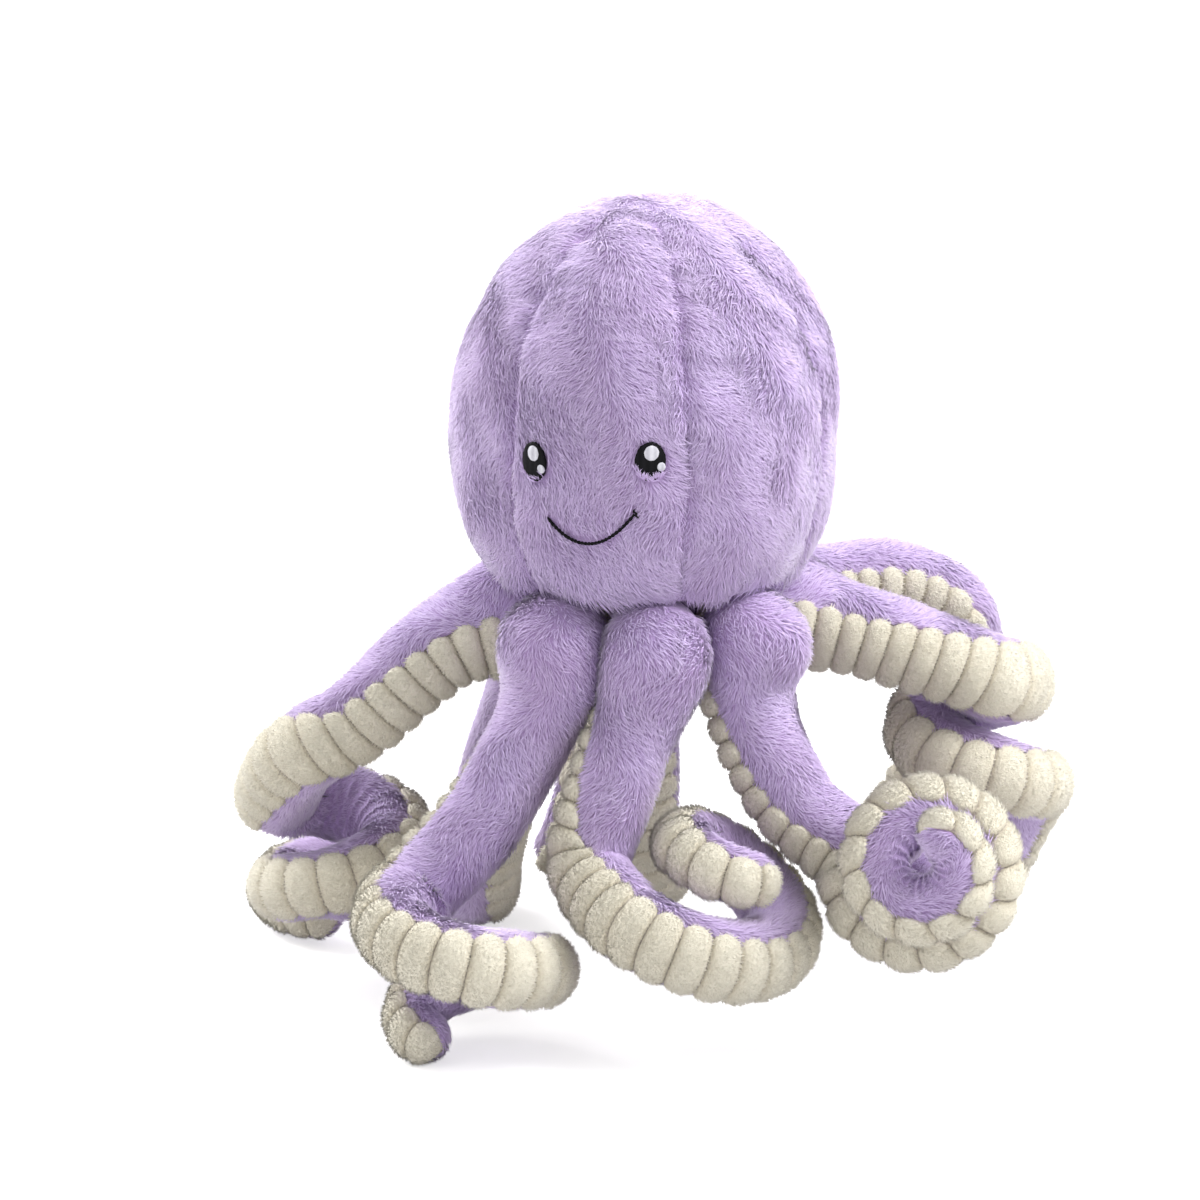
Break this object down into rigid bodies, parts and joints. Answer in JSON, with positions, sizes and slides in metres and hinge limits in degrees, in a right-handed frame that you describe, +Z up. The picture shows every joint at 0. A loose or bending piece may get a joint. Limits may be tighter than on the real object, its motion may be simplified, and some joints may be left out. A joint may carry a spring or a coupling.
{
  "type": "plush octopus",
  "caption": "Standing plush octopus with a tall round fur head, embroidered eyes and smile, and curled arms with ribbed cream undersides that hinge at their roots.",
  "frame": {"origin": "middle of the footprint, on the surface that the toy stands on", "axes": "+Z up through the crown, -Y towards where the face looks, +X to the right of someone who faces the toy"},
  "size_m": [0.4434, 0.405, 0.415],
  "materials": {
    "lavender_fur": "long-pile lavender fur, matt",
    "cream_plush": "short-pile cream plush, gathered into ribs, matt",
    "white_fibre": "loose white polyester fibre",
    "black_stitch": "black embroidery thread, slight sheen",
    "white_stitch": "white embroidery thread, slight sheen"
  },
  "bodies": {
    "head": {"head_gore_1": "lavender_fur", "head_gore_2": "lavender_fur", "head_gore_3": "lavender_fur", "head_gore_4": "lavender_fur", "head_gore_5": "lavender_fur", "head_gore_6": "lavender_fur", "head_stuffing": "white_fibre", "base_disc": "lavender_fur", "smile_thread": "black_stitch", "eye_left": "black_stitch", "eye_left_large_glint": "white_stitch", "eye_left_small_glint": "white_stitch", "eye_right": "black_stitch", "eye_right_large_glint": "white_stitch", "eye_right_small_glint": "white_stitch"},
    "arm_front_left": {"arm_front_left_fur": "lavender_fur", "arm_front_left_ribbed_underside": "cream_plush", "arm_front_left_stuffing": "white_fibre"},
    "arm_front_right": {"arm_front_right_fur": "lavender_fur", "arm_front_right_ribbed_underside": "cream_plush", "arm_front_right_stuffing": "white_fibre"},
    "arm_side_right_front": {"arm_side_right_front_fur": "lavender_fur", "arm_side_right_front_ribbed_underside": "cream_plush", "arm_side_right_front_stuffing": "white_fibre"},
    "arm_side_right_back": {"arm_side_right_back_fur": "lavender_fur", "arm_side_right_back_ribbed_underside": "cream_plush", "arm_side_right_back_stuffing": "white_fibre"},
    "arm_back_right": {"arm_back_right_fur": "lavender_fur", "arm_back_right_ribbed_underside": "cream_plush", "arm_back_right_stuffing": "white_fibre"},
    "arm_back_left": {"arm_back_left_fur": "lavender_fur", "arm_back_left_ribbed_underside": "cream_plush", "arm_back_left_stuffing": "white_fibre"},
    "arm_side_left_back": {"arm_side_left_back_fur": "lavender_fur", "arm_side_left_back_ribbed_underside": "cream_plush", "arm_side_left_back_stuffing": "white_fibre"},
    "arm_side_left_front": {"arm_side_left_front_fur": "lavender_fur", "arm_side_left_front_ribbed_underside": "cream_plush", "arm_side_left_front_stuffing": "white_fibre"}
  },
  "joints": [
    {"name": "front_left_root", "type": "hinge", "parent": "head", "child": "arm_front_left", "pos_m": [-0.01121, -0.07608, 0.196], "axis": [-0.9239, 0.3827, 0], "range_deg": [0, 35]},
    {"name": "front_right_root", "type": "hinge", "parent": "head", "child": "arm_front_right", "pos_m": [0.03624, -0.07608, 0.196], "axis": [-0.9239, -0.3827, 0], "range_deg": [-8, 30]},
    {"name": "side_right_front_root", "type": "hinge", "parent": "head", "child": "arm_side_right_front", "pos_m": [0.0698, -0.04253, 0.196], "axis": [-0.3827, -0.9239, 0], "range_deg": [0, 30]},
    {"name": "side_right_back_root", "type": "hinge", "parent": "head", "child": "arm_side_right_back", "pos_m": [0.0698, 0.00492, 0.196], "axis": [0.3827, -0.9239, 0], "range_deg": [0, 20]},
    {"name": "back_right_root", "type": "hinge", "parent": "head", "child": "arm_back_right", "pos_m": [0.03624, 0.03848, 0.196], "axis": [0.9239, -0.3827, 0], "range_deg": [0, 15]},
    {"name": "back_left_root", "type": "hinge", "parent": "head", "child": "arm_back_left", "pos_m": [-0.01121, 0.03848, 0.196], "axis": [0.9239, 0.3827, 0], "range_deg": [0, 35]},
    {"name": "side_left_back_root", "type": "hinge", "parent": "head", "child": "arm_side_left_back", "pos_m": [-0.04476, 0.00492, 0.196], "axis": [0.3827, 0.9239, 0], "range_deg": [0, 35]},
    {"name": "side_left_front_root", "type": "hinge", "parent": "head", "child": "arm_side_left_front", "pos_m": [-0.04476, -0.04253, 0.196], "axis": [-0.3827, 0.9239, 0], "range_deg": [-15, 20]}
  ]
}
